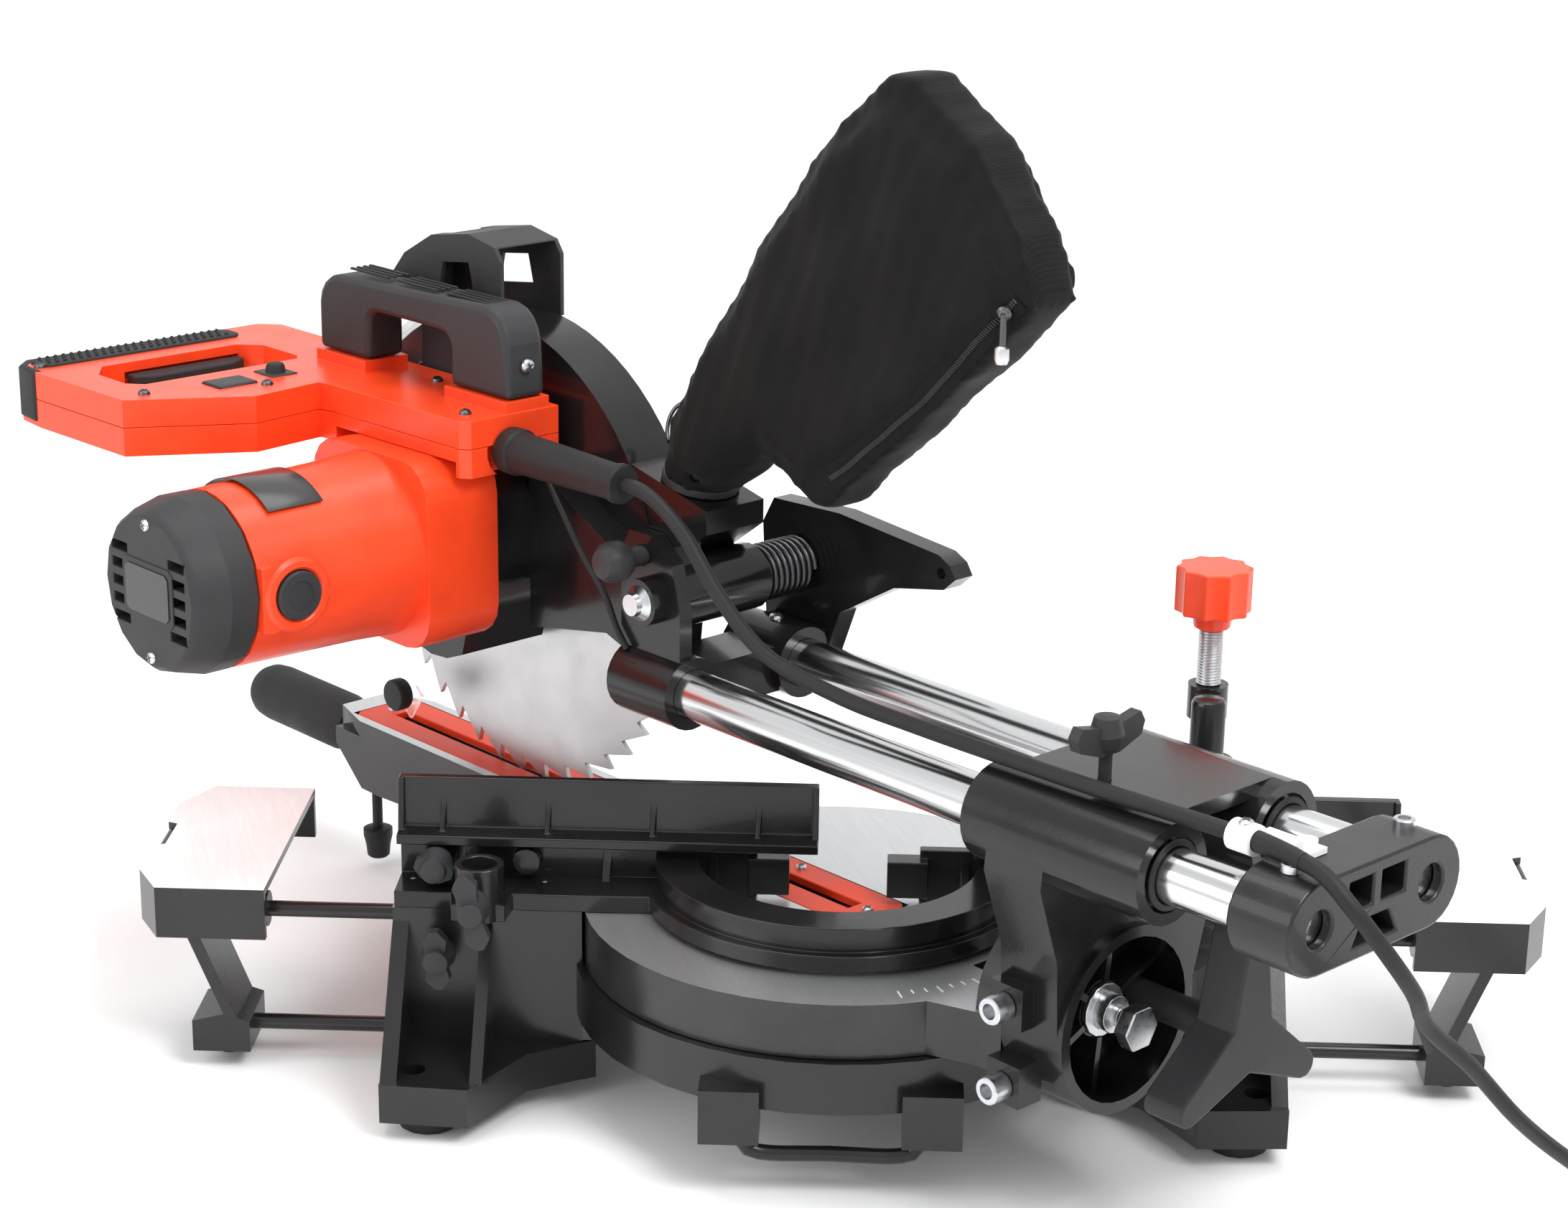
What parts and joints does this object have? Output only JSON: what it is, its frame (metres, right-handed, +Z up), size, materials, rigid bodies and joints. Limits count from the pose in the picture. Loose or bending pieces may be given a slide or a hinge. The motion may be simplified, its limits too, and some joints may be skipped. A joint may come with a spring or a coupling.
{
  "type": "mitre saw",
  "caption": "Sliding compound mitre saw on a cast base with extension wings, fence, hold-down clamp, D-handle, motor, blade guards, dust bag and mains lead.",
  "frame": {"origin": "centre of the saw's outline in plan, at bench level; the free cord is not counted", "axes": "+X to the user's right along the fence, +Y away from the user, +Z up; the table arm is set 45 degrees to the right"},
  "size_m": [0.9609, 0.6334, 0.518],
  "materials": {
    "black_paint": "gloss black coating over cast aluminium",
    "grey_paint": "dark grey coating with a machined bright top",
    "orange_plastic": "satin orange-red moulding",
    "black_plastic": "dark grey fine-textured moulding",
    "steel": "ground steel",
    "rubber": "matt black rubber",
    "clear": "clear polycarbonate",
    "cloth": "black woven nylon",
    "nylon": "white nylon"
  },
  "bodies": {
    "base": {"base_casting": "black_paint", "rubber_foot_rear_right": "rubber", "rubber_foot_rear_left": "rubber", "rubber_foot_front_right": "rubber", "rubber_foot_front_left": "rubber", "wire_stirrup": "black_paint", "fence_casting": "black_paint", "power_cord": "rubber", "cord_coil": "rubber", "mains_plug": "rubber"},
    "fence_right": {"fence_slide_right": "black_paint"},
    "fence_left": {"fence_slide_left": "black_paint"},
    "fence_knob_right": {"fence_knob_right": "black_plastic"},
    "fence_knob_left": {"fence_knob_left": "black_plastic"},
    "socket_knob_right": {"socket_knob_right": "black_plastic"},
    "socket_knob_left": {"socket_knob_left": "black_plastic"},
    "wing_knob_right": {"wing_knob_right": "black_plastic"},
    "wing_knob_left": {"wing_knob_left": "black_plastic"},
    "wing_right": {"wing_right": "black_paint"},
    "wing_left": {"wing_left": "black_paint"},
    "stop_right": {"wing_stop_right": "black_paint"},
    "stop_left": {"wing_stop_left": "black_paint"},
    "table": {"turntable": "grey_paint", "kerf_insert": "orange_plastic", "mitre_pivot_bolt": "steel"},
    "mitre_grip": {"mitre_grip": "black_plastic"},
    "arm_foot": {"arm_foot": "rubber"},
    "bevel": {"bevel_arm": "black_paint", "bevel_bolt": "steel"},
    "star_handle": {"star_handle": "black_plastic"},
    "rail_knob": {"rail_knob": "black_plastic"},
    "carriage": {"rail_near": "steel", "rail_far": "steel", "front_bracket": "black_paint", "rear_bracket": "black_paint", "cable_clip": "nylon", "pivot_shaft": "steel", "held_lead": "rubber"},
    "lock_pin": {"lock_pin": "black_plastic"},
    "head": {"head_casting": "black_paint", "motor_body": "orange_plastic", "motor_end_cap": "black_plastic", "handle_upper": "orange_plastic", "handle_lower": "orange_plastic", "carry_handle": "black_plastic", "cable_boot": "rubber", "guard_cover": "grey_paint", "dust_port": "black_plastic", "dust_bag": "cloth"},
    "blade": {"saw_blade": "steel", "arbor": "steel"},
    "trigger": {"trigger": "black_plastic"},
    "rocker": {"rocker_switch": "black_plastic"},
    "lock_off": {"lock_off_button": "black_plastic"},
    "lower_guard": {"lower_guard": "clear"},
    "guard_roller": {"guard_roller": "rubber"},
    "clamp_post": {"clamp_post": "black_paint"},
    "clamp_arm": {"clamp_arm": "black_paint"},
    "clamp_screw": {"clamp_screw": "orange_plastic"}
  },
  "joints": [
    {"name": "fence_right_slide", "type": "slide", "parent": "base", "child": "fence_right", "axis": [1, 0, 0], "range_m": [0, 0.06]},
    {"name": "fence_left_slide", "type": "slide", "parent": "base", "child": "fence_left", "axis": [1, 0, 0], "range_m": [0, 0.045]},
    {"name": "wing_right_slide", "type": "slide", "parent": "base", "child": "wing_right", "axis": [1, 0, 0], "range_m": [-0.025, 0.035]},
    {"name": "wing_left_slide", "type": "slide", "parent": "base", "child": "wing_left", "axis": [-1, 0, 0], "range_m": [-0.025, 0.035]},
    {"name": "wing_stop_right_flip", "type": "hinge", "parent": "wing_right", "child": "stop_right", "pos_m": [0.30334, 0.04852, 0.095], "axis": [0, 1, 0], "range_deg": [-180, 0]},
    {"name": "wing_stop_left_flip", "type": "hinge", "parent": "wing_left", "child": "stop_left", "pos_m": [-0.39266, 0.04852, 0.095], "axis": [0, 1, 0], "range_deg": [0, 180]},
    {"name": "fence_knob_right_turn", "type": "hinge", "parent": "base", "child": "fence_knob_right", "pos_m": [0.15234, 0.05083, 0.118], "axis": [0, 1, 0], "range_deg": [-90, 90]},
    {"name": "socket_knob_right_turn", "type": "hinge", "parent": "base", "child": "socket_knob_right", "pos_m": [0.12834, 0.09483, 0.114], "axis": [0, 1, 0], "range_deg": [-90, 90]},
    {"name": "wing_knob_right_turn", "type": "hinge", "parent": "base", "child": "wing_knob_right", "pos_m": [0.14834, 0.07483, 0.0805], "axis": [0, 1, 0], "range_deg": [-90, 90]},
    {"name": "fence_knob_left_turn", "type": "hinge", "parent": "base", "child": "fence_knob_left", "pos_m": [-0.24166, 0.05083, 0.118], "axis": [0, 1, 0], "range_deg": [-90, 90]},
    {"name": "socket_knob_left_turn", "type": "hinge", "parent": "base", "child": "socket_knob_left", "pos_m": [-0.21766, 0.09483, 0.114], "axis": [0, 1, 0], "range_deg": [-90, 90]},
    {"name": "wing_knob_left_turn", "type": "hinge", "parent": "base", "child": "wing_knob_left", "pos_m": [-0.23766, 0.07483, 0.0805], "axis": [0, 1, 0], "range_deg": [-90, 90]},
    {"name": "mitre", "type": "hinge", "parent": "base", "child": "table", "pos_m": [-0.04466, 0.04852, 0.09], "axis": [0, 0, 1], "range_deg": [-90, 0]},
    {"name": "mitre_grip_turn", "type": "hinge", "parent": "table", "child": "mitre_grip", "pos_m": [0.24101, -0.23715, 0.079], "axis": [-0.7071, 0.7071, 0], "range_deg": [-60, 60]},
    {"name": "arm_foot_height", "type": "slide", "parent": "table", "child": "arm_foot", "axis": [0, 0, 1], "range_m": [-0.006, 0.005]},
    {"name": "bevel_tilt", "type": "hinge", "parent": "table", "child": "bevel", "pos_m": [-0.15228, 0.15615, 0.1], "axis": [-0.7071, 0.7071, 0], "range_deg": [-10, 0]},
    {"name": "star_handle_turn", "type": "hinge", "parent": "bevel", "child": "star_handle", "pos_m": [-0.19174, 0.15601, 0.098], "axis": [-0.7071, 0.7071, 0], "range_deg": [-60, 60]},
    {"name": "rail_knob_turn", "type": "hinge", "parent": "bevel", "child": "rail_knob", "pos_m": [-0.16133, 0.1949, 0.23], "axis": [0, 0, 1], "range_deg": [-90, 90]},
    {"name": "carriage_slide", "type": "slide", "parent": "bevel", "child": "carriage", "axis": [-0.7071, 0.7071, 0], "range_m": [-0.026, 0.199], "deforming": ["power_cord"]},
    {"name": "head_chop", "type": "hinge", "parent": "carriage", "child": "head", "pos_m": [0.01757, -0.0137, 0.242], "axis": [0.7071, 0.7071, 0], "range_deg": [-36, 0], "deforming": ["held_lead"]},
    {"name": "lock_pin_push", "type": "slide", "parent": "carriage", "child": "lock_pin", "axis": [-0.7071, -0.7071, 0], "range_m": [0, 0.009]},
    {"name": "blade_spin", "type": "hinge", "parent": "head", "child": "blade", "pos_m": [0.12816, -0.12429, 0.223], "axis": [0.7071, 0.7071, 0], "continuous": true},
    {"name": "trigger_pull", "type": "slide", "parent": "head", "child": "trigger", "axis": [0.7071, -0.7071, 0], "range_m": [0, 0.006], "stiffness_N_per_m": 400},
    {"name": "rocker_tilt", "type": "hinge", "parent": "head", "child": "rocker", "pos_m": [0.27778, -0.09148, 0.317], "axis": [-0.7071, 0.7071, 0], "range_deg": [-6, 6]},
    {"name": "lock_off_press", "type": "slide", "parent": "head", "child": "lock_off", "axis": [0, 0, -1], "range_m": [0, 0.004], "stiffness_N_per_m": 300},
    {"name": "lower_guard_swing", "type": "hinge", "parent": "head", "child": "lower_guard", "pos_m": [0.12816, -0.12429, 0.223], "axis": [0.7071, 0.7071, 0], "range_deg": [0, 70]},
    {"name": "guard_roller_spin", "type": "hinge", "parent": "lower_guard", "child": "guard_roller", "pos_m": [0.20452, -0.16247, 0.12648], "axis": [0.7071, 0.7071, 0], "continuous": true},
    {"name": "clamp_post_turn", "type": "hinge", "parent": "base", "child": "clamp_post", "pos_m": [-0.21766, 0.08253, 0.11], "axis": [0, 0, 1], "range_deg": [-20, 20]},
    {"name": "clamp_arm_height", "type": "slide", "parent": "clamp_post", "child": "clamp_arm", "axis": [0, 0, 1], "range_m": [-0.01, 0.025]},
    {"name": "clamp_screw_height", "type": "slide", "parent": "clamp_arm", "child": "clamp_screw", "axis": [0, 0, 1], "range_m": [-0.028, 0.015]}
  ],
  "couplings": [
    {"joint": "lower_guard_swing", "follows": "head_chop", "ratio": -1.9444}
  ]
}
